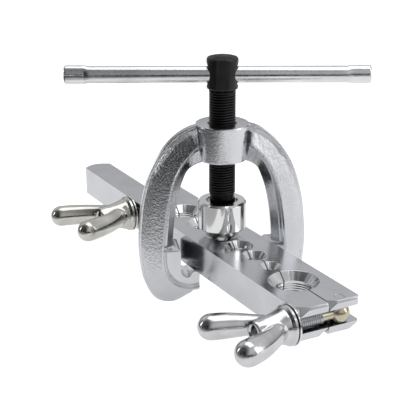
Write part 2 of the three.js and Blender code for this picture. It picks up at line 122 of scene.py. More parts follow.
def lathe(name, profile, segments=96, closed=False):
    """A solid of revolution about Z from [radius, z] points, on the axis at both ends unless closed."""
    verts, faces, rings = [], [], []
    for radius, z in profile:
        if radius < 1e-6:
            rings.append([len(verts)] * segments)
            verts.append((0, 0, z))
            continue
        rings.append(list(range(len(verts), len(verts) + segments)))
        for i in range(segments):
            angle = math.tau * i / segments
            verts.append((radius * math.cos(angle), radius * math.sin(angle), z))
    pairs = list(zip(rings, rings[1:]))
    if closed:
        pairs.append((rings[-1], rings[0]))
    for lower, upper in pairs:
        for i in range(segments):
            k = (i + 1) % segments
            corners = [lower[i], lower[k], upper[k], upper[i]]
            face = [v for n, v in enumerate(corners) if v not in corners[:n]]
            if len(face) > 2:
                faces.append(face)
    return tidy_normals(mesh_object(name, verts, faces))


def loft(name, rings, groups=None):
    """A closed skin over rings of equal length. groups gives a material index for each strip."""
    count = len(rings[0])
    verts = [p for ring in rings for p in ring]
    faces, indices = [], []
    for r in range(len(rings) - 1):
        for j in range(count):
            k = (j + 1) % count
            faces.append((r * count + j, r * count + k, (r + 1) * count + k, (r + 1) * count + j))
            indices.append(groups[j] if groups else 0)
    last = (len(rings) - 1) * count
    faces.append(tuple(range(count)))
    faces.append(tuple(last + j for j in reversed(range(count))))
    indices += [0, 0]
    return tidy_normals(mesh_object(name, verts, faces, indices))


def prism(name, outline, low, high):
    """An outline of (x, y) points, extruded from z = low to z = high."""
    return loft(name, [[(x, y, z) for x, y in outline] for z in (low, high)])


def applied(piece):
    """The piece with its modifiers worked into its mesh."""
    depsgraph = bpy.context.evaluated_depsgraph_get()
    mesh = bpy.data.meshes.new_from_object(piece.evaluated_get(depsgraph))
    piece.modifiers.clear()
    piece.data = mesh
    return piece


def combine(piece, other, operation="DIFFERENCE"):
    modifier = piece.modifiers.new("combine", "BOOLEAN")
    modifier.operation = operation
    modifier.solver = "EXACT"
    modifier.object = other
    applied(piece)
    bpy.data.objects.remove(other)
    return piece


def bevelled(piece, width, angle=30, segments=2):
    modifier = piece.modifiers.new("bevel", "BEVEL")
    modifier.width = width
    modifier.segments = segments
    modifier.limit_method = "ANGLE"
    modifier.angle_limit = math.radians(angle)
    return applied(piece)


def shaded(piece, angle=26):
    """Smooth shading, broken at edges sharper than angle, with large faces kept flat."""
    shape = bmesh.new()
    shape.from_mesh(piece.data)
    for face in shape.faces:
        face.smooth = True
    for edge in shape.edges:
        edge.smooth = len(edge.link_faces) == 2 and edge.calc_face_angle() < math.radians(angle)
    shape.to_mesh(piece.data)
    shape.free()
    modifier = piece.modifiers.new("normals", "WEIGHTED_NORMAL")
    modifier.keep_sharp = True
    return applied(piece)


def moved(piece, x=0.0, y=0.0, z=0.0, turn=0.0, tip=0.0):
    """Tips the mesh about X, turns it about Z, and moves it."""
    matrix = Matrix.Translation((x, y, z)) @ Matrix.Rotation(turn, 4, "Z") @ Matrix.Rotation(tip, 4, "X")
    piece.data.transform(matrix)
    return piece


def settle(piece, body, slot, materials, *nodes):
    """Puts a finished mesh in the frame, on its body, in place of its CAD nodes."""
    piece.data.transform(Matrix.Translation(ORIGIN) @ Matrix.Scale(MM, 4))
    kept = [face.material_index for face in piece.data.polygons]
    piece.data.materials.clear()
    for material in materials:
        piece.data.materials.append(material)
    piece.data.polygons.foreach_set("material_index", kept)
    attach(piece, body)
    if nodes:
        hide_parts(*nodes)
    return piece


def spline(points, t):
    """Catmull-Rom through equally spaced points, with t from 0 to 1."""
    place = t * (len(points) - 1)
    i = min(int(place), len(points) - 2)
    u = place - i
    p1, p2 = Vector(points[i]), Vector(points[i + 1])
    p0 = Vector(points[i - 1]) if i > 0 else 2 * p1 - p2
    p3 = Vector(points[i + 2]) if i + 2 < len(points) else 2 * p2 - p1
    return 0.5 * (2 * p1 + (p2 - p0) * u + (2 * p0 - 5 * p1 + 4 * p2 - p3) * u ** 2
                  + (3 * p1 - p0 - 3 * p2 + p3) * u ** 3)


def arc(centre, radius, start, end, steps):
    angles = [math.radians(start + (end - start) * i / steps) for i in range(steps + 1)]
    return [(centre[0] + radius * math.cos(a), centre[1] + radius * math.sin(a)) for a in angles]


def smoothstep(t):
    t = min(max(t, 0.0), 1.0)
    return t * t * (3 - 2 * t)


def thread_rows(radius, pitch, depth, low, high, runout, rows_per_turn=9, segments=60):
    """Rings of a right-hand V thread between two heights, shallower over the last runout at each end."""
    rings = []
    rows = round((high - low) / pitch * rows_per_turn)
    for row in range(rows + 1):
        z = low + (high - low) * row / rows
        fade = smoothstep((z - low) / runout) * smoothstep((high - z) / runout)
        ring = []
        for i in range(segments):
            turns = (z / pitch - i / segments) % 1.0
            groove = 1 - abs(2 * turns - 1)
            cut = depth * fade * min(max(1.5 * groove - 0.4, 0.0), 1.0)
            angle = math.tau * i / segments
            ring.append(((radius - cut) * math.cos(angle), (radius - cut) * math.sin(angle), z))
        rings.append(ring)
    return rings


def plain_rows(profile, segments=60):
    return [[(r * math.cos(math.tau * i / segments), r * math.sin(math.tau * i / segments), z)
             for i in range(segments)] for r, z in profile]


# ---------------------------------------------------------------- materials

def node_tree(name):
    material = bpy.data.materials.new(name)
    material.use_nodes = True
    tree = material.node_tree
    return material, tree, tree.nodes["Principled BSDF"]


def noise_node(tree, coords, scale, detail=2.0, stretch=None):
    texture = tree.nodes.new("ShaderNodeTexNoise")
    texture.inputs["Scale"].default_value = scale
    texture.inputs["Detail"].default_value = detail
    source = coords
    if stretch:
        mapping = tree.nodes.new("ShaderNodeMapping")
        mapping.inputs["Scale"].default_value = stretch
        tree.links.new(coords, mapping.inputs["Vector"])
        source = mapping.outputs["Vector"]
    tree.links.new(source, texture.inputs["Vector"])
    return texture.outputs["Fac"]


def ramp_node(tree, source, low, high, start=0.3, end=0.7):
    spread = tree.nodes.new("ShaderNodeMapRange")
    spread.inputs["From Min"].default_value = start
    spread.inputs["From Max"].default_value = end
    spread.inputs["To Min"].default_value = low
    spread.inputs["To Max"].default_value = high
    tree.links.new(source, spread.inputs["Value"])
    return spread.outputs["Result"]


def colour_node(tree, source, dark, light, start=0.3, end=0.7):
    ramp = tree.nodes.new("ShaderNodeValToRGB")
    ramp.color_ramp.elements[0].position = start
    ramp.color_ramp.elements[0].color = (*dark, 1)
    ramp.color_ramp.elements[1].position = end
    ramp.color_ramp.elements[1].color = (*light, 1)
    tree.links.new(source, ramp.inputs["Fac"])
    return ramp.outputs["Color"]


def bump_node(tree, height, strength, distance, below=None):
    bump = tree.nodes.new("ShaderNodeBump")
    bump.inputs["Strength"].default_value = strength
    bump.inputs["Distance"].default_value = distance
    tree.links.new(height, bump.inputs["Height"])
    if below:
        tree.links.new(below, bump.inputs["Normal"])
    return bump.outputs["Normal"]


def metal(name, dark, light, rough, bumps, blotch=60.0, rough_scale=220.0, stretch=None, worn=None):
    """Bare or plated metal. rough is (least, most); bumps are (scale, strength, depth in mm)."""
    material, tree, shader = node_tree(name)
    coords = tree.nodes.new("ShaderNodeTexCoord").outputs["Object"]
    shader.inputs["Metallic"].default_value = 1.0
    tint = colour_node(tree, noise_node(tree, coords, blotch, 4.0), dark, light)
    if worn:
        geometry = tree.nodes.new("ShaderNodeNewGeometry")
        edge = ramp_node(tree, geometry.outputs["Pointiness"], 0.0, 1.0, 0.51, 0.56)
        mix = tree.nodes.new("ShaderNodeMixRGB")
        mix.inputs["Color2"].default_value = (*worn, 1)
        tree.links.new(edge, mix.inputs["Fac"])
        tree.links.new(tint, mix.inputs["Color1"])
        tint = mix.outputs["Color"]
    tree.links.new(tint, shader.inputs["Base Color"])
    grain = noise_node(tree, coords, rough_scale, 5.0, stretch)
    tree.links.new(ramp_node(tree, grain, *rough), shader.inputs["Roughness"])
    normal = None
    for scale, strength, depth in bumps:
        height = noise_node(tree, coords, scale, 3.0, stretch)
        normal = bump_node(tree, height, strength, depth * MM, normal)
    if normal:
        tree.links.new(normal, shader.inputs["Normal"])
    return material


BAR_PLATE = metal("bar_plate", (0.64, 0.65, 0.67), (0.71, 0.72, 0.74), (0.15, 0.24),
                  [(900, 0.06, 0.05), (120, 0.05, 0.2)], stretch=(0.25, 1, 1))
BORE_PLATE = metal("bore_plate", (0.70, 0.71, 0.72), (0.86, 0.87, 0.88), (0.08, 0.2), [(700, 0.08, 0.05)])
FORGED_FACE = metal("forged_face", (0.62, 0.63, 0.65), (0.70, 0.71, 0.73), (0.12, 0.22),
                    [(850, 1.0, 0.3), (1700, 0.8, 0.12)], rough_scale=900)
FORGED_RIM = metal("forged_rim", (0.68, 0.69, 0.71), (0.74, 0.75, 0.77), (0.14, 0.22),
                   [(1000, 0.8, 0.14), (200, 0.1, 0.2)])
CHROME = metal("chrome", (0.80, 0.80, 0.80), (0.87, 0.87, 0.86), (0.04, 0.12), [(90, 0.05, 0.3)])
NUT_CHROME = metal("nut_chrome", (0.60, 0.60, 0.62), (0.72, 0.72, 0.73), (0.13, 0.22),
                   [(140, 0.12, 0.35), (420, 0.08, 0.12)], blotch=150)
NICKEL = metal("nickel", (0.58, 0.57, 0.53), (0.72, 0.71, 0.67), (0.09, 0.18), [(110, 0.14, 0.4)], blotch=120)
BLACK_OXIDE = metal("black_oxide", (0.008, 0.008, 0.009), (0.022, 0.022, 0.024), (0.30, 0.48),
                    [(800, 0.1, 0.05)], worn=(0.07, 0.07, 0.07))
YELLOW_ZINC = metal("yellow_zinc", (0.52, 0.47, 0.33), (0.68, 0.64, 0.52), (0.14, 0.3), [(300, 0.1, 0.1)])
HANDLE_PLATE = metal("handle_plate", (0.68, 0.69, 0.70), (0.82, 0.83, 0.84), (0.1, 0.24),
                     [(900, 0.6, 0.09), (60, 0.08, 0.3)])
BARE_STEEL = metal("bare_steel", (0.45, 0.46, 0.48), (0.58, 0.59, 0.60), (0.2, 0.35), [(600, 0.1, 0.05)])


# ---------------------------------------------------------------- die bar

def mouth_radius(diameter):
    return diameter / 2 + 2.35 + 0.075 * diameter


def tube_hole(diameter, x):
    """Cutter for one tube hole: gripping ridges below a 45 degree countersink with its edge broken."""
    bore = diameter / 2
    mouth = mouth_radius(diameter)
    ridge, pitch = 0.24, 1.1
    throat = bore - mouth
    profile = [(0, -BAR_HEIGHT - 1), (bore + ridge, -BAR_HEIGHT - 1)]
    ridges = int((BAR_HEIGHT + throat - 0.6) / pitch)
    for i in range(ridges):
        z = -BAR_HEIGHT + 0.4 + i * pitch
        profile += [(bore + ridge, z), (bore, z + 0.45 * pitch), (bore + ridge, z + 0.9 * pitch)]
    profile += [(bore, throat), (mouth - 0.12, -0.12), (mouth + 0.3, 0.06), (mouth + 0.3, 1), (0, 1)]
    cutter = lathe("tube_hole", profile, 96)
    for vert in cutter.data.vertices:
        if throat - 0.01 < vert.co.z < 0.0:
            angle = math.atan2(vert.co.y, vert.co.x)
            chatter = 1 + 0.007 * math.sin(23 * angle) + 0.005 * math.sin(7 * angle + 1)
            vert.co.x *= chatter
            vert.co.y *= chatter
    return moved(cutter, x=x)


def bar_plan(far_end, side, bow):
    """Outline of one half from above, with rounded outer corners and a bowed far end."""
    inner, outer = side * SPLIT / 2, side * HALF_WIDTH
    corner = 1.4
    points = [(NEAR_END, inner)]
    points += bezier([(NEAR_END, outer - side * 2.5), (NEAR_END, outer), (NEAR_END - 2.5, outer)], 8)
    shoulder = (far_end + 2.8 * bow, outer - side * corner)
    heel = (far_end + 2.2 * bow, inner + side * corner)
    points += bezier([(far_end + 3.2 * bow + corner, outer), (far_end + 3.2 * bow, outer), shoulder], 6)
    points += bezier([shoulder, (far_end - 2.5 * bow, (outer + inner) / 2), heel], 20)[1:]
    points += bezier([heel, (far_end + 2.4 * bow, inner), (far_end + 2.4 * bow + corner, inner)], 6)[1:]
    return points


def bezier(corners, steps):
    a, b, c = (Vector(p) for p in corners)
    return [tuple((1 - t) ** 2 * a + 2 * t * (1 - t) * b + t * t * c for t in [i / steps])[0][:]
            for i in range(steps + 1)]


def bar_side(far_end, rounding):
    """Side outline of one half: rolled lips at the near end, a rounded lower corner at the far end."""
    roll = 1.3
    points = bezier([(NEAR_END - roll, 0), (NEAR_END - 0.3, -0.1), (NEAR_END, -roll)], 8)
    points += bezier([(NEAR_END, roll - BAR_HEIGHT), (NEAR_END - 0.3, 0.1 - BAR_HEIGHT),
                      (NEAR_END - roll, -BAR_HEIGHT)], 8)
    lower = [(far_end + rounding, -BAR_HEIGHT), (far_end, -BAR_HEIGHT), (far_end, rounding - BAR_HEIGHT)]
    return points + bezier(lower, 10) + [(far_end, 0)]


def lip_facet(bar, y, towards, up):
    """Cuts one corner of the near end off flat: the top lip for up = 1, the bottom lip for up = -1."""
    long, short = 8.735, 5.02
    x, z = NEAR_END, 0 if up > 0 else -BAR_HEIGHT
    corner = (x + 1, y - towards, z + up)
    verts = [corner, (x - short, y - towards, z + up), (x + 1, y + towards * long, z + up),
             (x + 1, y - towards, z - up * short)]
    faces = [(0, 1, 2), (0, 2, 3), (0, 3, 1), (1, 3, 2)]
    cutter = mesh_object("facet", verts, faces)
    tidy_normals(cutter)
    combine(bar, cutter)


def half_bar(name, side, far_end, bow, lower_rounding):
    bar = prism(name, bar_plan(far_end, side, bow), -BAR_HEIGHT, 0)
    outline = prism("side", bar_side(far_end, lower_rounding), -HALF_WIDTH - 2, HALF_WIDTH + 2)
    combine(bar, moved(outline, tip=math.pi / 2), "INTERSECT")
    slot_depth, slot_height = 9.6, 7.5
    inner = NEAR_END - slot_depth
    round_end = arc((inner + slot_height / 2, MID_HEIGHT), slot_height / 2, 90, 270, 20)
    slot = [*round_end, (NEAR_END + 2, MID_HEIGHT - slot_height / 2),
            (NEAR_END + 2, MID_HEIGHT + slot_height / 2)]
    combine(bar, moved(prism("slot", slot, -HALF_WIDTH - 2, HALF_WIDTH + 2), tip=math.pi / 2))
    lip_facet(bar, 2 - HALF_WIDTH if side < 0 else SPLIT / 2, 1, 1)
    lip_facet(bar, -SPLIT / 2 if side < 0 else HALF_WIDTH - 0.5, -1, -1)
    bevelled(bar, 0.3)
    for diameter, x in TUBE_HOLES:
        combine(bar, tube_hole(diameter, x))
    hole, hole_end = 3.35, 9.35
    stud_hole = lathe("stud_hole", [(0, -hole_end), (hole, -hole_end), (hole, HALF_WIDTH + 1),
                                    (0, HALF_WIDTH + 1)], 48)
    combine(bar, moved(stud_hole, x=STUD_X, z=MID_HEIGHT, tip=math.pi / 2))
    return bar


def mark_bores(bar):
    """Puts the second material on the faces inside the tube holes."""
    for face in bar.data.polygons:
        centre = face.center
        for diameter, x in TUBE_HOLES:
            reach = math.hypot(centre.x - x, centre.y)
            in_hole = diameter / 2 - 0.4 < reach < mouth_radius(diameter) + 0.05 and centre.z < -0.02
            if in_hole and abs(centre.y) > SPLIT / 2 + 0.01:
                face.material_index = 1


def build_bars():
    for side, node, body in ((-1, "front_die_bar", "front_half"), (1, "rear_die_bar", "die_block")):
        if side < 0:
            bar = half_bar("front_bar", side, FRONT_FAR_END, 1.0, 4.0)
        else:
            bar = half_bar("rear_bar", side, REAR_FAR_END, 0.4, 2.0)
            pin_hole = lathe("pin_hole", [(0, -14.3), (2.2, -14.3), (2.2, -0.1), (2.32, 0.05), (2.32, 1),
                                          (0, 1)], 48)
            combine(bar, moved(pin_hole, x=SWING_BOLT_X, y=SWING_PIN_Y))
        mark_bores(bar)
        settle(shaded(bar), body, "bright_plating", [BAR_PLATE, BORE_PLATE], node)


# ---------------------------------------------------------------- clamps

def threaded_bolt(name, radius, pitch, start, neck, neck_radius, tip):
    """A bolt along -Y from its own origin: a smooth neck from start, then thread to the tip."""
    rows = plain_rows([(neck_radius - 0.4, start), (neck_radius, start + 0.3), (neck_radius, neck - 0.3),
                       (radius - 0.35, neck)])
    rows += thread_rows(radius, pitch, 0.5, neck + 0.1, tip - 0.9, 1.2)
    rows += plain_rows([(radius - 0.9, tip)])
    return moved(loft(name, rows), tip=math.pi / 2)


def build_swing_bolt():
    half, radius = 3.4, 4.8
    top = math.degrees(math.asin(half / radius))
    side = arc((0, 0), radius, -top, top, 20)
    flat = side[0][0]
    eye = lathe("swing_eye", [(0, -half), (flat - 0.3, -half), *side, (flat - 0.3, half), (0, half)], 72)
    bolt = threaded_bolt("eye_bolt", 3.0, 1.0, 3.6, 9.6, 2.4, SWING_PIN_Y - BOLT_TIP_Y)
    combine(bolt, eye, "UNION")
    combine(bolt, lathe("eye_hole", [(0, -9), (2.45, -9), (2.45, 9), (0, 9)], 48))
    moved(bolt, x=SWING_BOLT_X, y=SWING_PIN_Y, z=MID_HEIGHT)
    for face in bolt.data.polygons:
        face.material_index = 1 if face.center.y < SWING_PIN_Y - 9.4 else 0
    settle(shaded(bolt, 40), "swing_bolt", "yellow_zinc", [YELLOW_ZINC, BARE_STEEL], "swing_bolt")


def build_clamp_stud():
    stud = threaded_bolt("stud", 3.0, 1.0, -9.0, 8.0, 2.85, -BOLT_TIP_Y)
    moved(stud, x=STUD_X, z=MID_HEIGHT)
    settle(shaded(stud, 40), "die_block", "yellow_zinc", [YELLOW_ZINC], "clamp_stud")


def build_washers():
    for node, x in (("near_washer", SWING_BOLT_X), ("far_washer", STUD_X)):
        low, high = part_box(node)
        outer = (high.z - low.z) / MM / 2
        thick = (high.y - low.y) / MM
        profile = [(3.35, 0), (outer - 0.2, 0), (outer, 0.2), (outer, thick - 0.2), (outer - 0.2, thick),
                   (3.35, thick)]
        washer = moved(lathe(node + "_turned", profile, 96, closed=True), tip=math.pi / 2)
        moved(washer, x=x, y=WASHER_FACE_Y, z=MID_HEIGHT)
        settle(shaded(washer), node, "polished_chrome", [CHROME], node)


def wing_rings(spread, reach, bulb, stem, side):
    """A fat drop on a curved stem, from inside the hub to the rounded end of the wing."""
    a, b, c = (Vector((side * 4.6, 0, 8)), Vector((side * spread * 0.72, 0, reach * 0.52)),
               Vector((side * spread, 0, reach)))
    rings = []
    steps = 22
    for i in range(steps + 1):
        t = i / steps
        along = (1 - t) ** 2 * a + 2 * t * (1 - t) * b + t * t * c
        forward = (2 * (1 - t) * (b - a) + 2 * t * (c - b)).normalized()
        radius = stem + (bulb - stem) * smoothstep((t - 0.1) / 0.85)
        rings.append((along, forward, radius))
    end, forward = rings[-1][0], rings[-1][1]
    for i in range(1, 9):
        angle = math.radians(i * 10.5)
        rings.append((end + forward * bulb * math.sin(angle), forward, bulb * math.cos(angle)))
    return [wing_ring(*ring) for ring in rings]


def wing_ring(along, forward, radius):
    across = Vector((forward.z, 0, -forward.x))
    ring = []
    for i in range(32):
        angle = math.tau * i / 32
        ring.append(along + across * radius * math.cos(angle) + Vector((0, radius * math.sin(angle), 0)))
    return ring


def wing_nut(name, spread, reach, bulb, stem, turn):
    """Flange at z = 0, waisted hub above it, and two wings blended into the hub."""
    hub_length = 17.0
    profile = [(0, 0.6), (7.6, 0.6), (8.0, 2.6)]
    for i in range(13):
        t = i / 12
        profile.append((5.7 + 2.5 * (1 - t) ** 2.2, 2.6 + t * (hub_length - 2.6)))
    profile.append((0, hub_length))
    casting = lathe("hub", profile, 64)
    for side in (1, -1):
        combine(casting, loft("wing", wing_rings(spread, reach, bulb, stem, side)), "UNION")
    remesh = casting.modifiers.new("skin", "REMESH")
    remesh.mode = "VOXEL"
    remesh.voxel_size = 0.42
    smooth = casting.modifiers.new("blend", "SMOOTH")
    smooth.factor = 0.5
    smooth.iterations = 9
    applied(casting)
    flange = lathe(name, [(0, 0), (8.8, 0), (9.0, 0.2), (9.0, 1.3), (8.7, 1.7), (8.2, 2.4), (7.0, 3.2),
                          (0, 3.2)], 96)
    combine(flange, casting, "UNION")
    hole = lathe("thread_hole", [(0, -1), (3.3, -1), (3.3, hub_length - 0.8), (4.2, hub_length + 0.4),
                                 (4.2, hub_length + 2), (0, hub_length + 2)], 48)
    combine(flange, hole)
    return moved(flange, turn=turn)


def build_wing_nuts():
    near = wing_nut("near_casting", spread=15.4, reach=28.6, bulb=5.8, stem=4.4, turn=math.radians(2.6))
    far = wing_nut("far_casting", spread=18.2, reach=31.2, bulb=5.45, stem=4.8, turn=math.radians(5.6))
    for nut, node, x, slot, material in ((near, "near_wing_nut", SWING_BOLT_X, "polished_chrome", NUT_CHROME),
                                         (far, "far_wing_nut", STUD_X, "nickel_plating", NICKEL)):
        moved(nut, tip=math.pi / 2)
        moved(nut, x=x, y=NUT_FACE_Y, z=MID_HEIGHT)
        settle(shaded(nut, 34), node, slot, [material], node)


# ---------------------------------------------------------------- yoke

# Half of the hoop, from the middle of the bridge to the end of the toe. Each row is one place along it:
# the outer band, the ridge and the inner edge as (sideways, z), and how deep the inner edge is.
HOOP = [
    ((0, 56.4), (0, 48.5), (0, 39.4), 5.5),
    ((12, 56.2), (11.5, 48), (9.5, 39.2), 5),
    ((20.8, 52.4), (17, 43.6), (16, 35.6), 3),
    ((28.6, 44.6), (22, 37), (19, 29.8), 2),
    ((34.8, 33.4), (25.8, 27.4), (21.3, 22.5), 2),
    ((38.8, 19.6), (28.2, 15.6), (23.1, 12.5), 2),
    ((40.5, 5), (29.6, 4), (24, 3), 2.2),
    ((40.8, -2), (30.1, -2.4), (24.1, -3.1), 2.4),
    ((40.8, -4.6), (30.3, -4.6), (21.4, -4.3), 8.1),
    ((40.3, -12), (30.2, -10.6), (21.1, -9.6), 8.2),
    ((38.8, -20.5), (29.2, -15.4), (21.1, -14.4), 8.2),
    ((33.6, -30.4), (25.6, -20.6), (20.4, -17.2), 8.2),
    ((25.4, -33.3), (21, -23.4), (17.5, -18.6), 8.2),
    ((17.8, -30), (16.4, -24.2), (14.9, -15.8), 8.2),
    ((12.2, -25), (12.1, -23.6), (12, -15.5), 8.2),
]
YOKE_TURN = math.radians(90 - 21.1)
RIDGE_DEPTH = 8.8
BAND_DEPTH = 2.2


def hoop_section(t, side):
    """One ring of the hoop: flat outer band, broad forged face, ridge, bevel, groove and inner face."""
    band = spline([row[0] for row in HOOP], t)
    ridge = spline([row[1] for row in HOOP], t)
    edge = spline([row[2] for row in HOOP], t)
    edge_depth = spline([(row[3], 0) for row in HOOP], t)[0]
    out = (band - ridge).normalized()
    inward = (edge - ridge).normalized()
    near_boss = smoothstep((ridge.x - 11.2) / 0.9)
    top_depth = 2.6 + (RIDGE_DEPTH - 2.6) * near_boss
    low = BAND_DEPTH + 0.9 * near_boss
    half = [(band, BAND_DEPTH - 0.25), (band - out * 0.25, BAND_DEPTH),
            (band - out * 1.15, BAND_DEPTH + 0.05), (band - out * 1.4, low)]
    wall = near_boss * (1 - smoothstep((ridge.x - 12.9) / 1.2))
    for share in (0.3, 0.52, 0.75):
        lift = low + (top_depth - 0.2 - low) * share ** 0.8
        half.append((band.lerp(ridge, share), lift + 0.6 * wall * (top_depth - lift)))
    half.append((ridge + out * 0.9, top_depth - 0.3))
    half.append((ridge, top_depth))
    half.append((ridge + inward * 0.8, top_depth - 0.3))
    inner_depth = min(edge_depth, top_depth)
    drop = top_depth - inner_depth
    half.append((ridge + inward * 1.3, top_depth - 1.3 - 0.12 * drop))
    half.append((ridge + inward * 1.8, top_depth - 1.5 - 0.2 * drop))
    half.append((ridge + inward * 2.5, top_depth - 0.8 - 0.28 * drop))
    half.append((edge - inward * 0.6, min(inner_depth + 0.25, top_depth - 0.8 - 0.28 * drop)))
    half.append((edge, min(inner_depth - 0.3, top_depth - 1)))
    front = [(side * p.x, -depth, p.y) for p, depth in half]
    back = [(side * p.x, depth, p.y) for p, depth in reversed(half)]
    return front + back


def build_yoke():
    steps = 140
    rings = [hoop_section(abs(i) / steps, 1 if i >= 0 else -1) for i in range(-steps, steps + 1)]
    strips = [1, 1, 1, 0, 0, 0, 0, 0, 1, 1, 1, 1, 1, 1]
    groups = strips + [1] + strips[::-1] + [1]
    hoop = loft("yoke_forging", rings, groups)
    wide, narrow, low, high = 12.9, 12.2, 39.2, 56.8
    boss = lathe("boss", [(0, low), (narrow - 0.8, low), (narrow - 0.2, low + 0.25), (narrow, low + 0.8),
                          (wide, high - 0.7), (wide - 0.25, high - 0.2), (wide - 0.7, high), (0, high)], 96)
    combine(hoop, boss, "UNION")
    hole, mouth = 6.75, 7.3
    bore = lathe("bore", [(0, low - 1), (hole, low - 1), (hole, high - 0.5), (mouth, high + 0.1),
                          (mouth, high + 1), (0, high + 1)], 64)
    combine(hoop, bore)
    for face in hoop.data.polygons:
        if math.hypot(face.center.x, face.center.y) < wide:
            face.material_index = 1
    moved(hoop, turn=YOKE_TURN)
    settle(shaded(hoop, 24), "yoke", "forged_plating", [FORGED_FACE, FORGED_RIM], "yoke")


# ---------------------------------------------------------------- screw, handle and cone

def build_feed_screw():
    radius, neck, upper_neck, nose, groove, thread_low = INCH / 4, 5.45, 5.75, 7.8, 11.0, 22.4
    rows = plain_rows([(neck - 0.6, nose), (neck, nose + 0.6), (neck, groove - 0.8), (4.9, groove - 0.8),
                       (4.9, groove + 0.8), (neck, groove + 0.8), (neck, 16.0), (upper_neck, 16.4),
                       (upper_neck, thread_low - 2.2), (radius - 0.3, thread_low - 0.2)])
    rows += thread_rows(radius, INCH / 20, 0.62, thread_low, 72.4, 1.6)
    rows += plain_rows([(radius - 0.5, 72.8), (radius - 0.5, 74.5)])
    screw = loft("screw", rows)
    low, head = 73.1, 7.5
    dome = arc((0, HEAD_TOP - 24.0), 24.0, 73, 90, 8)
    profile = [(0, low), (head - 0.9, low), (head - 0.2, low + 0.5), (head, low + 1.1),
               (head, HEAD_TOP - 2.2), (head - 0.1, HEAD_TOP - 1.6), *dome]
    top = lathe("head", profile, 96)
    flat_at = head - 0.6
    for side in (1, -1):
        flat = [(-9, side * flat_at), (9, side * flat_at), (9, side * 9), (-9, side * 9)]
        combine(top, prism("flat", flat, low - 1, HEAD_TOP + 1))
    height = HANDLE_CENTRE.z
    hole = [(0, -9), (7.1, -9), (4.3, -5.3), (4.3, 5.3), (7.1, 9), (0, 9)]
    cutter = lathe("cross_hole", hole, 64)
    cutter.data.transform(Matrix.Translation((0, 0, height)) @ Matrix.Rotation(math.pi / 2, 4, "Y"))
    combine(top, cutter)
    combine(top, screw, "UNION")
    moved(top, turn=HANDLE_TURN)
    top.name = "screw"
    settle(shaded(top, 40), "feed_screw", "black_oxide", [BLACK_OXIDE], "feed_screw")


def build_tommy_bar():
    """A round bar whose last stretch is lightly squeezed, so that it can't leave the hole."""
    radius, length, flat_length = 3.95, 143.0, 11.0
    step, narrower, taller = 1.2, 0.35, 0.38
    half = length / 2
    rows = []
    stations = [(-half, 0.80), (-half + 0.25, 0.93), (-half + 0.8, 1.0)]
    stations += [(-half + flat_length * k / 12, 1.0) for k in range(1, 13)]
    stations += [(-half + flat_length + 1.5, 1.0), (-half + flat_length + 4, 1.0)]
    full = stations + [(-x, scale) for x, scale in reversed(stations)]
    for x, scale in full:
        squeeze = smoothstep((abs(x) - (half - flat_length)) / step)
        wide = (radius - narrower * squeeze) * scale
        tall = (radius + taller * squeeze) * scale
        ring = []
        for i in range(48):
            angle = math.tau * i / 48
            ring.append((x, wide * math.cos(angle), tall * math.sin(angle)))
        rows.append(ring)
    bar = loft("handle", rows)
    moved(bar, x=HANDLE_CENTRE.x, y=HANDLE_CENTRE.y, z=HANDLE_CENTRE.z, turn=HANDLE_TURN)
    settle(shaded(bar, 40), "tommy_bar", "polished_chrome", [HANDLE_PLATE], "tommy_bar")


def build_cone():
    radius, bottom, socket, groove, seat = 11.8, 4.5, 5.9, 11.0, 1.6
    profile = [(0, CONE_TIP), (1.1, CONE_TIP), (1.35, CONE_TIP + 0.15), (radius - 1.4, bottom - 0.8),
               (radius - 0.7, bottom - 0.25), (radius - 0.15, bottom + 0.2), (radius, bottom + 0.6),
               (radius, COLLAR_TOP - 0.9), (radius - 0.1, COLLAR_TOP - 0.75), (radius - 0.85, COLLAR_TOP),
               (7.8, COLLAR_TOP), (7.55, COLLAR_TOP - 0.2), (7.3, COLLAR_TOP - 3), (socket, COLLAR_TOP - 3),
               (socket, groove + 0.8), (6.6, groove + 0.8), (6.6, groove - 0.8), (socket, groove - 0.8),
               (socket, 7.4), (3.2, 7.4), (3.2, seat), (0, seat)]
    cone = lathe("cone_collar", profile, 128)
    settle(shaded(cone, 30), "cone", "polished_chrome", [CHROME], "flaring_cone")


def finish_hidden_nodes():
    """CAD nodes whose shape is right as it is: they keep their mesh and get a material."""
    for node in ("dowel_pin_1", "dowel_pin_2", "stud_pin", "swing_bolt_pin", "thrust_ball", "retaining_ring"):
        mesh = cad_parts[node].data
        mesh.materials.clear()
        mesh.materials.append(BAR_PLATE if node == "swing_bolt_pin" else BARE_STEEL)


# ---------------------------------------------------------------- stage

def area_light(name, at, towards, width, height, watts, colour=(1, 1, 1)):
    data = bpy.data.lights.new(name, "AREA")
    data.shape = "RECTANGLE"
    data.size = width
    data.size_y = height
    data.energy = watts
    data.color = colour
    light = bpy.data.objects.new(name, data)
    bpy.context.scene.collection.objects.link(light)
    light.location = at
    light.rotation_euler = (Vector(towards) - Vector(at)).to_track_quat("-Z", "Y").to_euler()


def build_floor():
    floor = mesh_object("floor", [(-4, -4, 0), (4, -4, 0), (4, 4, 0), (-4, 4, 0)], [(0, 1, 2, 3)])
    floor.data.transform(Matrix.Translation((0, 0, -0.0005)))
    material, tree, shader = node_tree("pale_floor")
    coords = tree.nodes.new("ShaderNodeTexCoord").outputs["Object"]
    tone = colour_node(tree, noise_node(tree, coords, 3.0), (0.5, 0.5, 0.5), (0.54, 0.54, 0.54))
    tree.links.new(tone, shader.inputs["Base Color"])
    shader.inputs["Roughness"].default_value = 0.9
    shader.inputs["Emission Color"].default_value = (1, 1, 1, 1)
    shader.inputs["Emission Strength"].default_value = 0.89
    floor.data.materials.append(material)


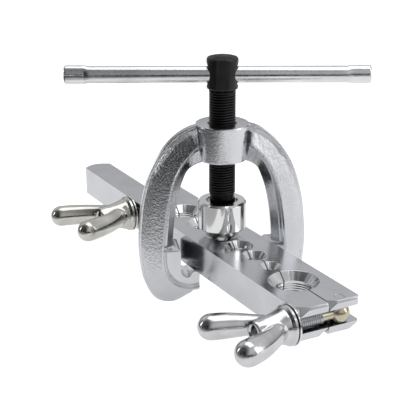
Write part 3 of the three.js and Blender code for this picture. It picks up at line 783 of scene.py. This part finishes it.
def build_world():
    """A pale tent, open and dark above the wing nuts' side, so that the metal has something to show.

    The camera sees a white backdrop in its place.
    """
    world = bpy.data.worlds.new("studio")
    bpy.context.scene.world = world
    world.use_nodes = True
    tree = world.node_tree
    background = tree.nodes["Background"]
    direction = tree.nodes.new("ShaderNodeTexCoord").outputs["Generated"]
    split = tree.nodes.new("ShaderNodeSeparateXYZ")
    tree.links.new(direction, split.inputs["Vector"])
    sky = tree.nodes.new("ShaderNodeValToRGB")
    tones = [(0.0, 0.6), (0.49, 0.3), (0.53, 0.08), (0.6, 0.5), (0.8, 0.75), (1.0, 0.5)]
    for place, tone in tones[1:-1]:
        sky.color_ramp.elements.new(place).color = (tone, tone, tone, 1)
    for element, (place, tone) in zip(sky.color_ramp.elements, tones):
        element.color = (tone, tone * 1.005, tone * 1.02, 1)
    height = ramp_node(tree, split.outputs["Z"], 0.0, 1.0, -1.0, 1.0)
    tree.links.new(height, sky.inputs["Fac"])
    facing = tree.nodes.new("ShaderNodeVectorMath")
    facing.operation = "DOT_PRODUCT"
    facing.inputs[1].default_value = (0.12, -0.85, 0.5)
    tree.links.new(direction, facing.inputs[0])
    open_side = ramp_node(tree, facing.outputs["Value"], 1.0, 0.12, 0.5, 0.88)
    shade = tree.nodes.new("ShaderNodeVectorMath")
    shade.operation = "SCALE"
    tree.links.new(sky.outputs["Color"], shade.inputs[0])
    tree.links.new(open_side, shade.inputs["Scale"])
    tree.links.new(shade.outputs["Vector"], background.inputs["Color"])
    background.inputs["Strength"].default_value = 0.9
    backdrop = tree.nodes.new("ShaderNodeBackground")
    backdrop.inputs["Color"].default_value = (1, 1, 1, 1)
    seen = tree.nodes.new("ShaderNodeLightPath").outputs["Is Camera Ray"]
    mix = tree.nodes.new("ShaderNodeMixShader")
    tree.links.new(seen, mix.inputs[0])
    tree.links.new(background.outputs[0], mix.inputs[1])
    tree.links.new(backdrop.outputs[0], mix.inputs[2])
    tree.links.new(mix.outputs[0], tree.nodes["World Output"].inputs["Surface"])


def build_lights():
    area_light("top_box", (-0.05, 0.15, 0.9), (0, 0, 0.05), 0.9, 0.6, 2.0)
    area_light("left_box", (-0.5, -0.75, 0.3), (0, 0, 0.05), 0.1, 0.4, 0.5)
    area_light("right_box", (0.6, 0.7, 0.4), (0, 0, 0.05), 0.4, 0.7, 1.4)


def reflection_card(name, at, towards, width, height, tone=0.01, glow=0.0):
    """A card that only reflections see, for the dark and grey streaks in polished metal."""
    card = mesh_object(name, [(-width / 2, -height / 2, 0), (width / 2, -height / 2, 0),
                              (width / 2, height / 2, 0), (-width / 2, height / 2, 0)], [(0, 1, 2, 3)])
    card.location = at
    card.rotation_euler = (Vector(towards) - Vector(at)).to_track_quat("-Z", "Y").to_euler()
    material, _, shader = node_tree(name)
    shader.inputs["Base Color"].default_value = (tone, tone, tone, 1)
    shader.inputs["Roughness"].default_value = 0.9
    shader.inputs["Emission Color"].default_value = (1, 1, 1, 1)
    shader.inputs["Emission Strength"].default_value = glow
    card.data.materials.append(material)
    card.visible_camera = False
    card.visible_diffuse = False
    card.visible_shadow = False


def build_cards():
    """Dark cards round the tool, and pale, grey and dark strips on the floor, for reflections only."""
    for name, at, width, height in (("dark_card_front", (0.55, -0.75, 0.12), 0.35, 0.22),
                                    ("dark_card_high", (0.43, -0.76, 0.44), 0.42, 0.28),
                                    ("dark_card_behind_camera", (0.85, -0.3, 0.08), 0.6, 0.22),
                                    ("dark_card_left", (-0.6, -0.55, 0.25), 0.18, 0.6)):
        reflection_card(name, at, (0, 0, 0.05), width, height)
    for name, at, width, height, tone, glow in (
            ("pale_floor_under", (0.0, 0.135, 0.0002), 0.7, 0.49, 0.7, 0.42),
            ("grey_floor_front", (0.0, -0.145, 0.0004), 1.2, 0.07, 0.5, 0.1),
            ("dark_floor_front", (0.0, -0.58, 0.0006), 1.6, 0.8, 0.12, 0.0),
            ("grey_floor_side", (0.75, 0.135, 0.0004), 0.8, 0.49, 0.4, 0.1)):
        reflection_card(name, at, (at[0], at[1], -1), width, height, tone, glow)


def build_camera():
    data = bpy.data.cameras.new("camera")
    data.sensor_width = 36
    data.lens = CAMERA_LENS
    camera = bpy.data.objects.new("camera", data)
    bpy.context.scene.collection.objects.link(camera)
    camera.location = ORIGIN + Vector(CAMERA_AT) * MM
    camera.rotation_euler = (math.radians(90 - CAMERA_PITCH), 0, math.radians(CAMERA_HEADING))
    bpy.context.scene.camera = camera


build_camera()
build_bars()
build_swing_bolt()
build_clamp_stud()
build_washers()
build_wing_nuts()
build_yoke()
build_feed_screw()
build_tommy_bar()
build_cone()
finish_hidden_nodes()
build_floor()
build_world()
build_lights()
build_cards()
bpy.context.scene.view_settings.view_transform = "Standard"
